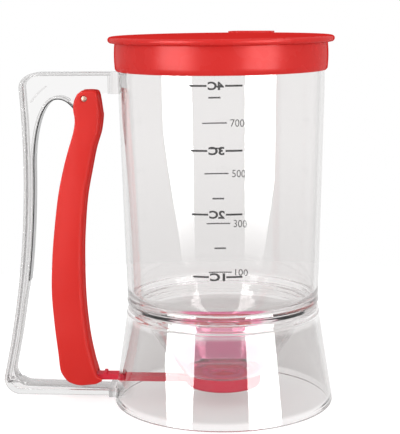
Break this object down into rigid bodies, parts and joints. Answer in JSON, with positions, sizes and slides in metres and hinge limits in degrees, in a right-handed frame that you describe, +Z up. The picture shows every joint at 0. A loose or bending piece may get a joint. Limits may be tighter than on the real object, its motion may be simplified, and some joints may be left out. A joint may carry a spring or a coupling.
{
  "type": "pancake batter dispenser",
  "caption": "Clear jug with a funnel on a flared clear skirt, press-on lid, and a handle whose sprung lever slides a flat gate under the outlet.",
  "frame": {"origin": "on the jug's axis, in the plane of the table under the skirt's foot ring", "axes": "+Z up along the jug's axis, the handle and the lever towards -X, the lid's pull tab towards +Y"},
  "size_m": [0.1701, 0.1184, 0.1865],
  "materials": {
    "clear_plastic": "clear, polished",
    "red_plastic": "satin",
    "red_soft": "soft, satin",
    "spring_steel": "dark",
    "pin_steel": "bright",
    "seal": "soft"
  },
  "bodies": {
    "jug": {"hopper": "clear_plastic", "base_skirt": "clear_plastic", "handle_frame": "clear_plastic", "outlet_cap": "red_plastic", "gate_seal": "seal", "leaf_spring": "spring_steel"},
    "lever": {"trigger_lever": "red_plastic", "pivot_pin": "pin_steel"},
    "gate": {"gate_slide": "red_plastic"},
    "cover": {"lid": "red_soft"}
  },
  "joints": [
    {"name": "lever_hinge", "type": "hinge", "parent": "jug", "child": "lever", "pos_m": [-0.0684, 0, 0.1552], "axis": [0, 1, 0], "range_deg": [0, 6.5], "stiffness_Nm_per_rad": 2, "springref_deg": -2.86, "deforming": ["leaf_spring"]},
    {"name": "gate_travel", "type": "slide", "parent": "jug", "child": "gate", "axis": [-1, 0, 0], "range_m": [0, 0.0163]},
    {"name": "lid_lift", "type": "slide", "parent": "jug", "child": "cover", "axis": [0, 0, 1], "range_m": [0, 0.06]}
  ],
  "couplings": [
    {"joint": "gate_travel", "follows": "lever_hinge", "m_per_rad": 0.1432}
  ]
}
